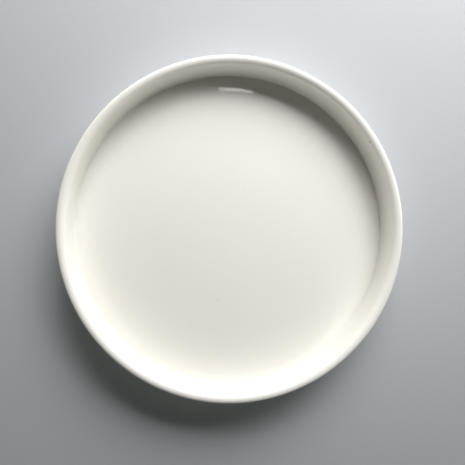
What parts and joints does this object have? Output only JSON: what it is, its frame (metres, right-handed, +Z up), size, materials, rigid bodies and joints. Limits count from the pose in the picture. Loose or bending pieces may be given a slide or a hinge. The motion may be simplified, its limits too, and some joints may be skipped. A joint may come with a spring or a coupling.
{
  "type": "plate",
  "caption": "Round porcelain plate with a flat well, a low upright wall, a rounded lip and a turned foot ring, glazed all over except where it stands.",
  "frame": {"origin": "on the plate's axis, at the level of the table that its foot ring stands on", "axes": "+Z up along the axis, out of the well; the plate is the same all round it, so +X and +Y are any two directions at right angles"},
  "size_m": [0.21, 0.21, 0.027],
  "materials": {
    "bare_porcelain": "unglazed, smooth and matt",
    "white_glaze": "clear glossy glaze over warm white porcelain"
  },
  "bodies": {
    "root": {"porcelain_body": "bare_porcelain", "outer_glaze": "white_glaze", "foot_recess_glaze": "white_glaze"}
  },
  "joints": []
}
